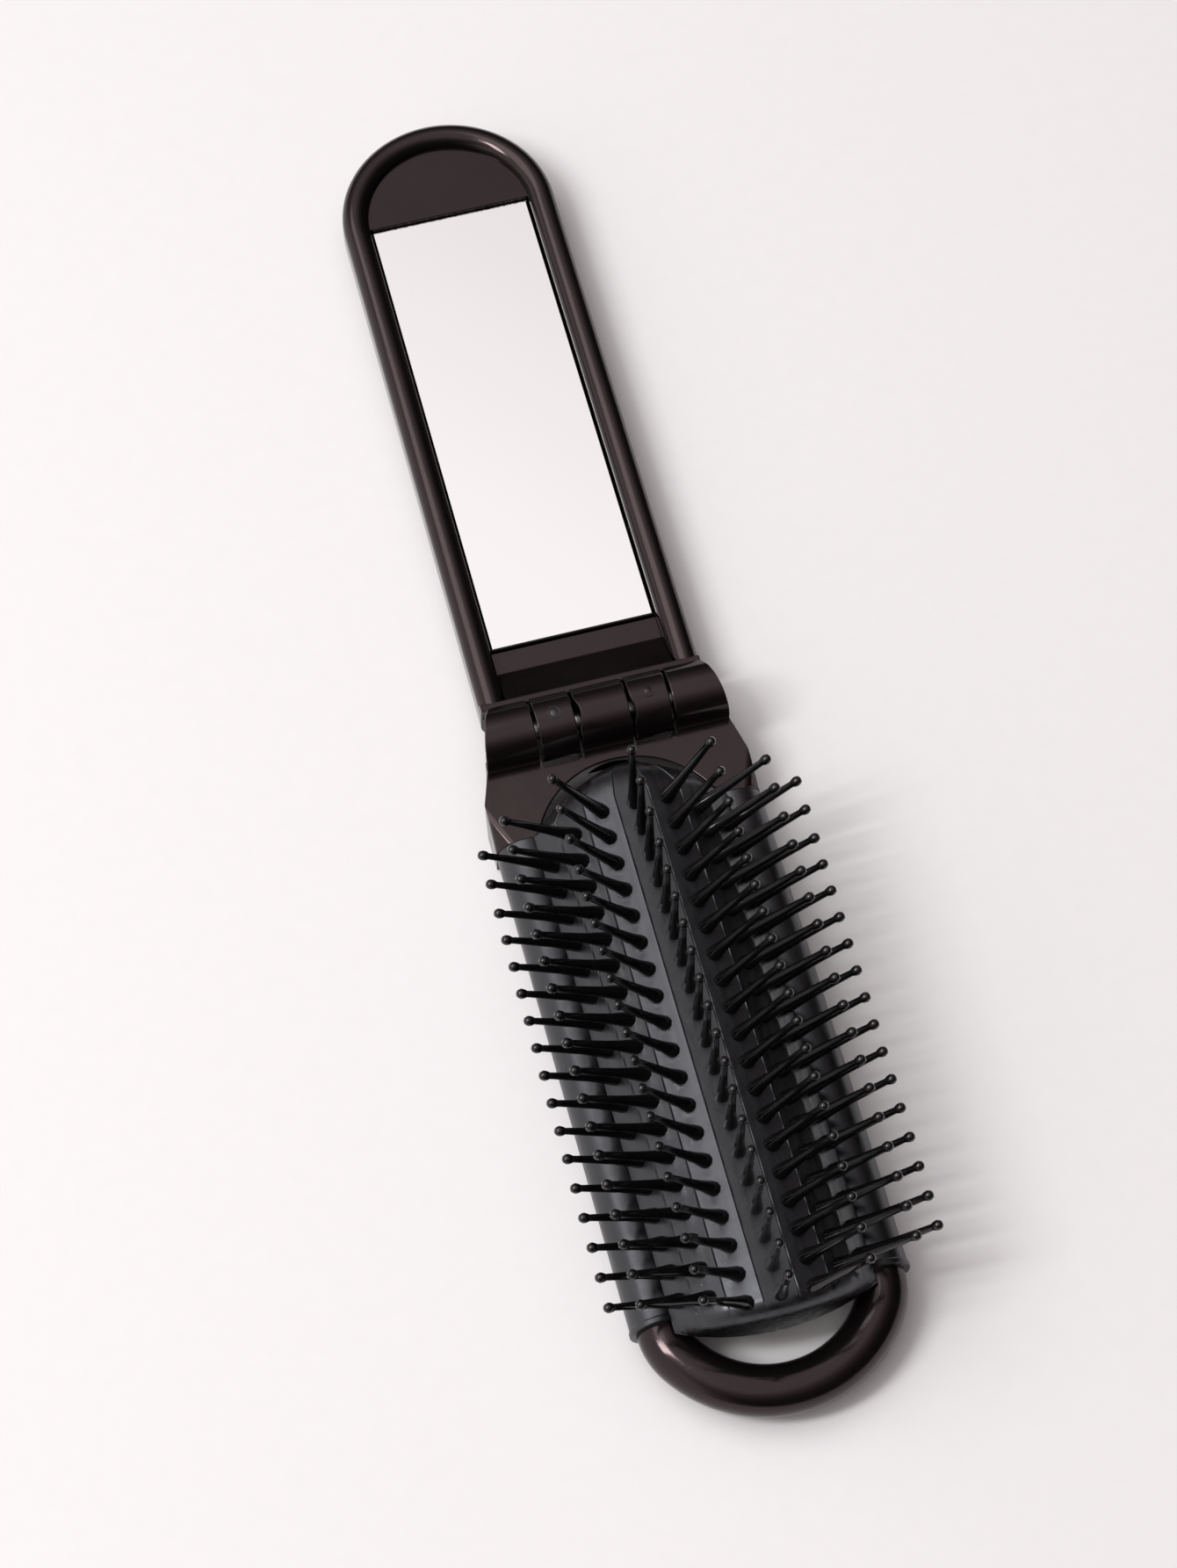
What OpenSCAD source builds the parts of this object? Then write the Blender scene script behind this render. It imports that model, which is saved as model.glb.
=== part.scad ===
// Folding hairbrush with a mirror in its handle, drawn open and flat.
// +Y runs from the loop to the round end of the handle, +Z is the pin side.

/* [Overall] */
// Length of the brush half, from the hinge axis to the outside of the loop
brush_len = 117.5; // [105:0.5:130]
// Length of the mirror half, from the hinge axis to its round end
handle_len = 119; // [104:0.5:130]
// Width across the two sleeves
body_w = 44; // [42:0.5:50]
// Gap left between the closed halves
close_gap = 0.4; // [0.3:0.05:1]

/* [Rails and loop] */
// Radius of the rails and of the loop that joins them
tube_r = 4; // [3.4:0.1:4.2]
// Radius of the two tight corners of the loop
loop_corner_r = 9; // [7:0.5:11]
// Length of the loop past the ends of the sleeves
loop_reach = 17.4; // [15.6:0.2:18]

/* [Sleeves] */
// Outer radius of the sleeves
sleeve_r = 4.8; // [4.6:0.1:5.2]
// Radial clearance between sleeve and rail
sleeve_fit = 0.05; // [0.02:0.01:0.1]
// How far the collar at the end of a sleeve stands out
collar_step = 0.2; // [0.1:0.05:0.4]
// Length of that collar
collar_len = 0.9; // [0.5:0.1:2]

/* [Deck] */
// Length of the deck, from the hinge axis to the sleeves
deck_len = 17.8; // [16:0.2:19]
// Height of the flat top of the deck
deck_top = 8.6; // [7.5:0.1:9]
// Half width of the deck where it meets the knuckles
deck_neck = 20.1; // [19.5:0.1:20.6]
// How much narrower the knuckles get towards the handle, on each side
knuckle_taper = 3; // [1:0.1:3.5]
// Wall of the hollow underside of the deck
deck_wall = 2; // [1.5:0.1:2.5]
// Radius of the round notch that the pad rises through
notch_r = 15.6; // [15:0.1:16]
// Distance from the hinge axis to the crown of that notch
notch_start = 7.4; // [7.2:0.1:8]

/* [Hinge] */
// Radius of the hinge knuckles
knuckle_r = 5.2; // [4.8:0.1:5.5]
// Half width of the middle knuckle
middle_half = 4.2; // [3.8:0.1:5]
// Width of each of the two knuckles of the handle
handle_knuckle_w = 6.2; // [5.6:0.1:7]
// Gap between neighbouring knuckles
knuckle_gap = 0.45; // [0.3:0.05:0.8]
// Radius of the hinge pin
pin_r = 1.5; // [1.2:0.1:2]
// Radial clearance where the handle turns on the pin
pin_fit = 0.06; // [0.02:0.01:0.1]
// Radial clearance where the pin is held in the deck
pin_grip = 0.02; // [0.01:0.01:0.03]
// How far the ends of the pin lie inside the outer knuckles
pin_recess = 0.8; // [0.4:0.1:2]
// Radius of the round plugs on top of the handle's knuckles
plug_r = 1.1; // [0.8:0.1:1.4]
// Depth of those plugs
plug_depth = 1.2; // [0.8:0.1:1.6]

/* [Handle] */
// Width of the handle
handle_w = 36.8; // [35:0.2:39]
// Height of the top of the handle's rim
rim_top = 9; // [8.4:0.1:9.6]
// Width of the half-round rim
rim_w = 4.5; // [3.6:0.1:5]
// Radius along the outer edge of the handle's back
back_r = 3.5; // [2:0.1:4]
// Thickness of the handle's back
back_t = 2.2; // [1.8:0.1:3]
// Distance from the hinge axis to the handle's end face
handle_start = 5.8; // [5.7:0.1:6.5]
// Length of the narrow land along the end face
land_len = 1.2; // [0.8:0.1:2]
// Length of the slope below the land
slope_len = 6.4; // [4:0.1:7]
// Height of the D-shaped land at the round end
end_land_top = 6.8; // [6.4:0.1:7.4]

/* [Mirror] */
// Distance from the outside of the round end to the seat of the glass
end_land_len = 17.8; // [15:0.2:24]
// Thickness of the glass
mirror_t = 1.2; // [1:0.1:2]
// Height of the top of the glass
mirror_top = 6; // [5.4:0.1:6.4]
// Gap round the edge of the glass
mirror_gap = 0.2; // [0.1:0.05:0.4]
// Thickness of the adhesive under the glass
tape_t = 0.4; // [0.2:0.1:0.6]
// Distance of the adhesive from the edge of the glass
tape_inset = 2; // [1:0.5:4]
// Distance from the hinge axis to the seat of the glass
mirror_start = 17.4; // [15:0.2:19]
// Height of the flat strip beside the glass
strip_top = 5.4; // [5:0.1:6]

/* [Pad] */
// Radius of the arched pad
pad_r = 18.6; // [18:0.1:19.5]
// Angle across each of the seven panels of the pad
panel_step = 16.5; // [16:0.1:17]
// Thickness of the panels
pad_t = 1.8; // [1.2:0.1:2.4]
// Width of the groove between panels
groove_w = 0.4; // [0.2:0.05:0.8]
// Gap between the pad and the sleeves that carry it
pad_seat_gap = 0.05; // [0.02:0.01:0.2]
// Distance from the hinge axis to the straight part of the pad
pad_start = 18.2; // [18:0.2:20]
// How far the round end by the deck reaches out
front_reach = 8.2; // [7:0.1:8.4]
// How far the round end by the loop reaches past the sleeves
rear_reach = 5.6; // [4.6:0.1:6]
// Radius of the round end by the loop, seen from above
rear_plan_r = 38; // [34:0.5:45]
// Wall of the round end by the deck
front_wall = 1.4; // [1:0.1:2]
// Wall of the round end by the loop
rear_wall = 1; // [0.8:0.1:1.2]

/* [Pins] */
// Length of a pin above the pad
bristle_len = 14.8; // [12:0.1:16]
// Radius of a pin at its root
root_r = 1.15; // [0.8:0.05:1.3]
// Radius of a pin's shaft
shaft_r = 0.6; // [0.4:0.05:0.8]
// Radius of the ball at a pin's tip
ball_r = 0.82; // [0.6:0.02:1]
// Distance between pins along a column
row_pitch = 4.6; // [4:0.1:5]
// Distance of the first pins from the start of the pad
first_row_inset = 1.9; // [1.5:0.1:3]
// Lean of the pins away from upright, from the middle column outwards
column_lean = [0, 32, 52, 54];
// Extra lean of the first pins towards the hinge
front_lean = 10; // [0:1:12]
// Extra lean of the last pins towards the loop
rear_lean = 8; // [0:1:10]

/* [Hidden] */
$fn = 96;
eps = 0.01;

gloss_black = [0.05, 0.045, 0.045];
satin_black = [0.13, 0.13, 0.13];
steel = [0.7, 0.7, 0.72];
silvered = [0.9, 0.92, 0.95];
tape_white = [0.85, 0.85, 0.82];

collar_r = sleeve_r + collar_step;
rail_x = body_w / 2 - collar_r;
rail_z = collar_r;
sleeve_top = rail_z + sleeve_r;
sleeve_end = brush_len - loop_reach;
hinge_y = (brush_len - handle_len) / 2;
hinge_z = (rim_top + rail_z + collar_r + close_gap) / 2;

// Stations along the object, measured from the hinge axis
function brush_y(s) = hinge_y - s;
function handle_y(s) = hinge_y + s;

// Hinge: the deck holds the outer and middle knuckles, the handle the two between
inner_from = middle_half + knuckle_gap;
inner_to = inner_from + handle_knuckle_w;
outer_from = inner_to + knuckle_gap;
web_low = 2;
deck_relief = 0.8;
relief_side = 0.2;

// Deck
shoulder_s = 12.2;
shoulder_half = body_w / 2 - 0.2;
corner_half = body_w / 2 - 2.4;
deck_side_r = deck_top / 2;

// Loop: its corners run into the bow by this angle, and are finer than it by this much
loop_lap = 3;
loop_step = 0.02;

// Handle
handle_half = handle_w / 2;
round_s = handle_len - handle_half;
rim_r = rim_w / 2;
well_half = handle_half - rim_w;
mirror_end = handle_len - end_land_len;
mirror_len = mirror_end - mirror_start - 2 * mirror_gap;
seat_z = mirror_top - mirror_t - tape_t;
slope_foot = handle_start + land_len + slope_len;
rib_w = 1.6;
rib_count = 4;

// Pad: the arch springs from the tops of the two sleeves
foot_z = sleeve_top + pad_seat_gap;
half_panels = 3.5;
pad_axis_z = foot_z - pad_r * cos(half_panels * panel_step) + 0.02;
crown_z = pad_axis_z + pad_r;
groove_deg = groove_w / 2 / pad_r * 180 / PI;
front_low = 6.5;
rear_low = 9.3;
skirt_half = rail_x - sleeve_r - 0.4;
edge_step = 7.5;
pad_end = sleeve_end + rear_reach;

// Pins: the first row of each column, and how many fewer it has, from the middle outwards
column_first_row = [0, 0, 0.4, 1];
column_fewer = [0, 0, 1, 2];
first_pin_s = pad_start + first_row_inset;
middle_rows = floor((pad_end - rear_wall - root_r - first_pin_s) / row_pitch) + 1;
front_rows = 3;
rear_rows = 6;
root_sink = 0.5;

function on_arch(r, a) = [r * sin(a), pad_axis_z + r * cos(a)];
function column_rows(c) = middle_rows - column_fewer[c];

module at_both_sides() {
    for (side = [-1, 1]) scale([side, 1, 1]) children();
}

// A cylinder along X
module bar_x(r, x0, x1) {
    translate([x0, 0, 0]) rotate([0, 90, 0]) cylinder(r = r, h = x1 - x0);
}

// A shape in X and Z, drawn out from brush station s0 to s1
module drawn_along(s0, s1) {
    translate([0, brush_y(s0), 0]) rotate([90, 0, 0])
        linear_extrude(s1 - s0) children();
}

// ---- brush half ----

module deck_section() {
    half = shoulder_half;
    translate([-half + deck_side_r, 0]) square([2 * (half - deck_side_r), deck_top]);
    for (x = [-1, 1] * (half - deck_side_r))
        translate([x, deck_side_r]) circle(deck_side_r);
}

// Half outlines seen from above: station from the hinge axis, half width
deck_edge = [
    [-knuckle_r, deck_neck - knuckle_taper], [-0.5 * knuckle_r, deck_neck - 0.6 * knuckle_taper],
    [0, deck_neck - 0.36 * knuckle_taper], [0.5 * knuckle_r, deck_neck - 0.16 * knuckle_taper],
    [knuckle_r, deck_neck], [shoulder_s, shoulder_half], [deck_len, shoulder_half]
];

module deck_plan() {
    last = len(deck_edge) - 1;
    polygon(concat(
        [for (e = deck_edge) [-e[1], brush_y(e[0])]],
        [for (k = [0:last]) [deck_edge[last - k][1], brush_y(deck_edge[last - k][0])]]
    ));
}

// Hollow in the underside of the deck, clear of the notch and the side walls
module deck_hollow() {
    front = knuckle_r + deck_relief + deck_wall;
    linear_extrude(deck_top - deck_wall) difference() {
        polygon([
            [-deck_neck + deck_wall, brush_y(front)],
            [-corner_half + deck_wall, brush_y(deck_len - deck_wall)],
            [corner_half - deck_wall, brush_y(deck_len - deck_wall)],
            [deck_neck - deck_wall, brush_y(front)]
        ]);
        translate([0, brush_y(notch_start + notch_r)]) circle(notch_r + deck_wall);
    }
}

// The slanted cut across each rear corner of the deck
module deck_corner_cut() {
    run = deck_len - shoulder_s;
    turn = atan2(shoulder_half - corner_half, run);
    translate([shoulder_half, brush_y(shoulder_s), deck_top])
        rotate([0, 0, -turn]) rotate([0, 50, 0])
            translate([-eps, -2 * run, 0]) cube([10, 4 * run, 10]);
}

module frame_knuckle(x0, x1) {
    translate([0, hinge_y, hinge_z]) bar_x(knuckle_r, x0, x1);
    translate([x0, brush_y(knuckle_r + eps), web_low])
        cube([x1 - x0, knuckle_r, deck_top - web_low]);
}

module frame_deck() color(gloss_black) difference() {
    intersection() {
        union() {
            difference() {
                drawn_along(knuckle_r, deck_len) deck_section();
                at_both_sides() deck_corner_cut();
                at_both_sides()
                    translate([inner_from - relief_side, brush_y(knuckle_r + deck_relief), -eps])
                        cube([handle_knuckle_w + 2 * relief_side, deck_relief + eps, deck_top + 1]);
                translate([0, 0, -eps]) deck_hollow();
            }
            frame_knuckle(-middle_half, middle_half);
            at_both_sides() frame_knuckle(outer_from, deck_neck + eps);
        }
        linear_extrude(hinge_z + 2 * knuckle_r) deck_plan();
    }
    translate([0, brush_y(notch_start + notch_r), -eps]) cylinder(r = notch_r, h = deck_top + 1);
    translate([0, hinge_y, hinge_z]) bar_x(pin_r + pin_grip, -body_w, body_w);
}

module rail(side) color(gloss_black)
    translate([side * rail_x, brush_y(deck_len), rail_z])
        rotate([90, 0, 0]) cylinder(r = tube_r, h = sleeve_end - deck_len);

module rail_left() rail(-1);
module rail_right() rail(1);

// The loop: two tight corners joined by one wide bow
module hanging_loop() color(gloss_black) {
    half = rail_x - loop_corner_r;
    drop = loop_reach - tube_r - loop_corner_r;
    bow_half_angle = 2 * atan(drop / half);
    bow_back = half / tan(bow_half_angle);
    bow_r = half / sin(bow_half_angle) + loop_corner_r;
    translate([0, brush_y(sleeve_end), rail_z]) {
        translate([0, bow_back, 0]) rotate([0, 0, -90 - bow_half_angle])
            rotate_extrude(angle = 2 * bow_half_angle) translate([bow_r, 0]) circle(tube_r);
        for (side = [-1, 1])
            translate([side * half, 0, 0])
                rotate([0, 0, side > 0 ? bow_half_angle - 90 - loop_lap : 180])
                    rotate_extrude(angle = 90 - bow_half_angle + loop_lap)
                        translate([loop_corner_r, 0]) circle(tube_r - loop_step);
    }
}

module sleeve(side) color(satin_black)
    translate([side * rail_x, brush_y(deck_len + pad_seat_gap), rail_z]) rotate([90, 0, 0])
        difference() {
            length = sleeve_end - deck_len - 2 * pad_seat_gap;
            union() {
                cylinder(r = sleeve_r, h = length);
                translate([0, 0, length - collar_len]) cylinder(r = collar_r, h = collar_len);
            }
            translate([0, 0, -eps]) cylinder(r = tube_r + sleeve_fit, h = length + 2 * eps);
        }

module sleeve_left() sleeve(-1);
module sleeve_right() sleeve(1);

// ---- pad ----

// Half width of the faceted arch where it meets the sleeves
function foot_half(r) =
    let (p = on_arch(r, (half_panels - 1) * panel_step), q = on_arch(r, half_panels * panel_step))
    p[0] + (q[0] - p[0]) * (foot_z - p[1]) / (q[1] - p[1]);

// Outline of the faceted arch with the skirt that reaches down between the sleeves
module end_outline(r, half, low) {
    foot = foot_half(r);
    facets = [for (k = [1:6]) on_arch(r, (k - half_panels) * panel_step)];
    polygon(concat(
        [[-half, low], [-half, foot_z], [-foot, foot_z]], facets,
        [[foot, foot_z], [half, foot_z], [half, low]]
    ));
}

// The space under a round end: flat above, rounded by the given radius at its edge
module round_end(centre_s, plan_r, edge_r, low) {
    flat_r = plan_r - edge_r;
    edge = [for (a = [0:edge_step:90]) [flat_r + edge_r * cos(a), foot_z + edge_r * sin(a)]];
    translate([0, brush_y(centre_s), 0])
        rotate_extrude() polygon(concat([[0, low], [plan_r, low]], edge, [[0, foot_z + edge_r]]));
}

module pad_end_front() color(satin_black) {
    rise = crown_z - foot_z;
    half = foot_half(pad_r);
    plan_r = (half * half + front_reach * front_reach) / (2 * front_reach);
    s0 = pad_start - front_reach;
    difference() {
        intersection() {
            drawn_along(s0, pad_start) end_outline(pad_r, skirt_half, front_low);
            round_end(s0 + plan_r, plan_r, rise, front_low);
        }
        intersection() {
            drawn_along(s0 - 1, pad_start + 1)
                end_outline(pad_r - front_wall, skirt_half - front_wall, front_low - 1);
            round_end(s0 + plan_r, plan_r - front_wall, rise - front_wall, front_low - 1);
        }
    }
}

// Everything within the given radius of the middle of the round end by the loop
module rear_round(r) {
    middle = brush_y(pad_end - rear_plan_r);
    linear_extrude(2 * crown_z) {
        translate([0, middle]) circle(r);
        translate([-r, middle]) square([2 * r, pad_end]);
    }
}

module pad_end_rear() color(satin_black) difference() {
    intersection() {
        drawn_along(sleeve_end, pad_end) end_outline(pad_r, skirt_half, rear_low);
        rear_round(rear_plan_r);
    }
    rear_round(rear_plan_r - rear_wall);
}

// One moulded pin, standing along +Z with its root at the origin
module pin() rotate_extrude($fn = 4) polygon([
    [0, -root_sink], [root_r, -root_sink], [root_r, 1.4], [shaft_r * 1.25, 3.4],
    [shaft_r, bristle_len - 2.2 * ball_r], [ball_r, bristle_len - ball_r],
    [ball_r * 0.6, bristle_len - 0.2 * ball_r], [0, bristle_len]
]);

function row_lean(row) =
    front_lean * max(0, 1 - row / front_rows)
    - rear_lean * max(0, 1 - (middle_rows - 1 - row) / rear_rows);

// A panel of the pad with its column of pins; column counts from the middle outwards
module pin_panel(column, side) {
    mid = side * column * panel_step;
    a0 = mid - panel_step / 2;
    a1 = mid + panel_step / 2;
    color(satin_black) intersection() {
        drawn_along(pad_start, pad_end) intersection() {
            polygon([
                on_arch(pad_r, a0 + groove_deg), on_arch(pad_r, a1 - groove_deg),
                on_arch(pad_r - pad_t, a1), on_arch(pad_r - pad_t, a0)
            ]);
            translate([-body_w, foot_z]) square([2 * body_w, body_w]);
        }
        rear_round(rear_plan_r - rear_wall);
    }
    facet_r = pad_r * cos(panel_step / 2);
    base = on_arch(facet_r, mid);
    color(gloss_black) for (k = [0:column_rows(column) - 1]) {
        row = k + column_first_row[column];
        translate([base[0], brush_y(first_pin_s + row * row_pitch), base[1]])
            rotate([-row_lean(row), 0, 0]) rotate([0, side * column_lean[column], 0]) pin();
    }
}

module pin_panel_left_outer() pin_panel(3, -1);
module pin_panel_left_middle() pin_panel(2, -1);
module pin_panel_left_inner() pin_panel(1, -1);
module pin_panel_centre() pin_panel(0, 1);
module pin_panel_right_inner() pin_panel(1, 1);
module pin_panel_right_middle() pin_panel(2, 1);
module pin_panel_right_outer() pin_panel(3, 1);

// ---- hinge ----

module hinge_pin() color(steel)
    translate([0, hinge_y, hinge_z])
        bar_x(pin_r, -deck_neck + pin_recess, deck_neck - pin_recess);

module knuckle_plug(side) color(gloss_black)
    translate([side * (inner_from + handle_knuckle_w / 2), hinge_y, hinge_z + knuckle_r - plug_depth])
        cylinder(r = plug_r, h = plug_depth - 0.1);

module knuckle_plug_left() knuckle_plug(-1);
module knuckle_plug_right() knuckle_plug(1);

// ---- handle ----

// Half of the handle's section, from its middle to its outer side
module handle_half_section(floor_z) {
    square([handle_half - back_r, floor_z]);
    translate([well_half, back_r - eps]) square([rim_w, rim_top - rim_r - back_r + eps]);
    translate([handle_half - rim_r, rim_top - rim_r]) circle(rim_r);
    intersection() {
        translate([handle_half - back_r, back_r]) circle(back_r);
        translate([well_half, 0]) square([rim_w, back_r]);
    }
    translate([well_half, 0]) square([rim_w - back_r, back_r]);
}

module handle_body() {
    at_both_sides() translate([0, handle_y(round_s), 0]) rotate([90, 0, 0])
        linear_extrude(round_s - handle_start) handle_half_section(back_t);
    translate([0, handle_y(round_s), 0])
        rotate_extrude(angle = 180) handle_half_section(back_t);
}

// Ledges, ribs, strip, slope and lands inside the rim
module handle_inside() {
    width = 2 * well_half + 2 * eps;
    floor_low = back_t - eps;
    translate([-width / 2, handle_y(handle_start), floor_low]) rotate([90, 0, 90])
        linear_extrude(width) polygon([
            [0, 0], [0, rim_top - floor_low], [land_len, rim_top - floor_low],
            [slope_foot - handle_start, strip_top - floor_low],
            [mirror_start - handle_start, strip_top - floor_low],
            [mirror_start - handle_start, seat_z - floor_low],
            [mirror_start - handle_start + tape_inset + rib_w, seat_z - floor_low],
            [mirror_start - handle_start + tape_inset + rib_w, 0]
        ]);
    intersection() {
        translate([0, handle_y(round_s), floor_low])
            cylinder(r = well_half + eps, h = end_land_top - floor_low);
        translate([-handle_half, handle_y(mirror_end), 0])
            cube([handle_w, handle_len, rim_top]);
    }
    span = mirror_len / (rib_count + 1);
    for (k = [1:rib_count])
        translate([-width / 2, handle_y(mirror_start + k * span), floor_low])
            cube([width, rib_w, seat_z - floor_low]);
    translate([-rib_w / 2, handle_y(mirror_start), floor_low])
        cube([rib_w, mirror_len, seat_z - floor_low]);
}

module handle_knuckle() {
    translate([0, hinge_y, hinge_z]) bar_x(knuckle_r, inner_from, inner_to);
    translate([inner_from, hinge_y, web_low])
        cube([handle_knuckle_w, handle_start + 1, rim_top - rim_r - web_low]);
}

module handle_shell() color(gloss_black) difference() {
    union() {
        handle_body();
        handle_inside();
        at_both_sides() handle_knuckle();
    }
    translate([0, hinge_y, hinge_z]) bar_x(pin_r + pin_fit, -handle_w, handle_w);
    at_both_sides()
        translate([inner_from + handle_knuckle_w / 2, hinge_y, hinge_z + knuckle_r - plug_depth])
            cylinder(r = plug_r + pin_grip, h = plug_depth + 1);
}

module mirror_tape() color(tape_white)
    translate([-well_half + mirror_gap + tape_inset,
               handle_y(mirror_start + mirror_gap + tape_inset), seat_z])
        cube([2 * (well_half - mirror_gap - tape_inset), mirror_len - 2 * tape_inset, tape_t]);

module mirror_glass() color(silvered)
    translate([-well_half + mirror_gap, handle_y(mirror_start + mirror_gap), mirror_top - mirror_t])
        cube([2 * (well_half - mirror_gap), mirror_len, mirror_t]);

frame_deck();
rail_left();
rail_right();
hanging_loop();
sleeve_left();
sleeve_right();
pad_end_front();
pad_end_rear();
pin_panel_left_outer();
pin_panel_left_middle();
pin_panel_left_inner();
pin_panel_centre();
pin_panel_right_inner();
pin_panel_right_middle();
pin_panel_right_outer();
hinge_pin();
knuckle_plug_left();
knuckle_plug_right();
handle_shell();
mirror_tape();
mirror_glass();
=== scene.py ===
import math
import bmesh
import bpy
from bmesh.types import BMEdge, BMFace, BMVert
from mathutils import Matrix, Vector


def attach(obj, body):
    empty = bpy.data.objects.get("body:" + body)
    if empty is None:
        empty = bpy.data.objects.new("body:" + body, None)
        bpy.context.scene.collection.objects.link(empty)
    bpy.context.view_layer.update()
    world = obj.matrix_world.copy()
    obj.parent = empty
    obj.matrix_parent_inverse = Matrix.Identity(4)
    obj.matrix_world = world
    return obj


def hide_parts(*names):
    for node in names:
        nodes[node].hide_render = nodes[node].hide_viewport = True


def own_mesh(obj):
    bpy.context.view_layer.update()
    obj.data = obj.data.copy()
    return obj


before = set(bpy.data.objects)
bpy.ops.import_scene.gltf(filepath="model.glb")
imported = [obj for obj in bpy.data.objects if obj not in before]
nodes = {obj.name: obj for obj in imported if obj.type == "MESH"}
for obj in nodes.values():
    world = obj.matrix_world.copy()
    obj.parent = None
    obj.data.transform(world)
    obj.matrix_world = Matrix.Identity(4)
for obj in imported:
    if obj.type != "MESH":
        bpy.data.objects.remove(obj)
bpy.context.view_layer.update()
scene = bpy.context.scene
scene.view_settings.view_transform = "Standard"
toMetres = 0.001

# the hinge axis; stations s run from it along each half, in millimetres
hinge = dict(y=-0.75, z=9.7)
# points closer than weld are made one; tiny is the slack where two places should be equal
weld = 1e-3
tiny = 1e-4


def brushY(s):
    return hinge["y"] - s


def handleY(s):
    return hinge["y"] + s


# steps that the materials share


def newMaterial(name):
    mat = bpy.data.materials.new(name)
    mat.use_nodes = True
    return mat, mat.node_tree, mat.node_tree.nodes["Principled BSDF"]


def addNode(tree, kind, inputs=None, **settings):
    made = tree.nodes.new(kind)
    for key, value in settings.items():
        setattr(made, key, value)
    for key, value in (inputs or {}).items():
        made.inputs[key].default_value = value
    return made


def objectCoords(tree, scale=(1, 1, 1)):
    coord = tree.nodes.new("ShaderNodeTexCoord")
    mapping = addNode(tree, "ShaderNodeMapping", {"Scale": scale})
    tree.links.new(coord.outputs["Object"], mapping.inputs["Vector"])
    return mapping.outputs["Vector"]


def noiseOf(tree, vector, scale, detail, roughness=0.55):
    made = addNode(tree, "ShaderNodeTexNoise", {"Scale": scale, "Detail": detail, "Roughness": roughness})
    tree.links.new(vector, made.inputs["Vector"])
    return made.outputs["Fac"]


def rampOf(tree, fac, stops):
    made = tree.nodes.new("ShaderNodeValToRGB")
    marks = made.color_ramp.elements
    marks[0].position, marks[0].color = stops[0]
    marks[1].position, marks[1].color = stops[-1]
    for position, color in stops[1:-1]:
        marks.new(position).color = color
    tree.links.new(fac, made.inputs["Fac"])
    return made.outputs["Color"]


# two colours shared out by a noise
def blendOf(tree, fac, dark, light):
    return rampOf(tree, fac, [(0.3, dark), (0.7, light)])


def rangeOf(tree, fac, fromLow, fromHigh, low, high):
    made = addNode(tree, "ShaderNodeMapRange",
                   {"From Min": fromLow, "From Max": fromHigh, "To Min": low, "To Max": high})
    tree.links.new(fac, made.inputs["Value"])
    return made.outputs["Result"]


def mathOf(tree, operation, a, b):
    made = addNode(tree, "ShaderNodeMath", operation=operation)
    for k, value in enumerate((a, b)):
        if isinstance(value, (int, float)):
            made.inputs[k].default_value = value
        else:
            tree.links.new(value, made.inputs[k])
    return made.outputs["Value"]


# heights is a list of (socket, strength, distance in metres), laid one over another
def addRelief(tree, bsdf, heights):
    last = None
    for height, strength, distance in heights:
        bump = addNode(tree, "ShaderNodeBump", {"Strength": strength, "Distance": distance})
        tree.links.new(height, bump.inputs["Height"])
        if last:
            tree.links.new(last, bump.inputs["Normal"])
        last = bump.outputs["Normal"]
    tree.links.new(last, bsdf.inputs["Normal"])


def grey(v):
    return (v, v, v, 1.0)


# the glossy moulding of deck, loop and handle: near black, its reflections given a painted warm tint that
# stands in for warm room light

glossLook = dict(dark=(0.0030, 0.0024, 0.0024, 1), light=(0.0055, 0.0044, 0.0043, 1), rough=(0.10, 0.22),
                 paintedReflectionTint=(1.0, 0.76, 0.78, 1), cloudScale=90, waveScale=110, fineScale=2400,
                 smearScale=(240, 50, 240), waveHeight=(0.10, 0.0004), fineHeight=(0.04, 0.00004))


def glossBlack():
    mat, tree, bsdf = newMaterial("glossBlack")
    at = objectCoords(tree)
    cloud = noiseOf(tree, at, glossLook["cloudScale"], 3.0)
    tree.links.new(blendOf(tree, cloud, glossLook["dark"], glossLook["light"]), bsdf.inputs["Base Color"])
    fine = noiseOf(tree, at, glossLook["fineScale"], 3.0)
    smear = noiseOf(tree, objectCoords(tree, glossLook["smearScale"]), 1.0, 5.0, 0.6)
    worn = mathOf(tree, "MULTIPLY", fine, smear)
    tree.links.new(rangeOf(tree, worn, 0.12, 0.4, *glossLook["rough"]), bsdf.inputs["Roughness"])
    # painted reflection colour: the specular tint warms every reflection, standing in for the room's warm light
    bsdf.inputs["Specular Tint"].default_value = glossLook["paintedReflectionTint"]
    wave = noiseOf(tree, at, glossLook["waveScale"], 2.0)
    addRelief(tree, bsdf, [(wave, *glossLook["waveHeight"]), (fine, *glossLook["fineHeight"])])
    return mat


# the flexible satin moulding of pad and sleeves, with some dust on it; its reflections get a painted cool tint
# that stands in for bluish light

satinLook = dict(dark=(0.0018, 0.0018, 0.0021, 1), light=(0.0045, 0.0044, 0.0049, 1), rough=(0.27, 0.42),
                 specular=0.82, paintedReflectionTint=(0.90, 0.92, 1.0, 1), dust=(0.15, 0.145, 0.14, 1),
                 cloudScale=140, fineScale=4200, dustScale=620, dustPatchScale=700, scuffScale=(900, 110, 900),
                 fineHeight=(0.10, 0.00006), cloudHeight=(0.28, 0.0004))


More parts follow.
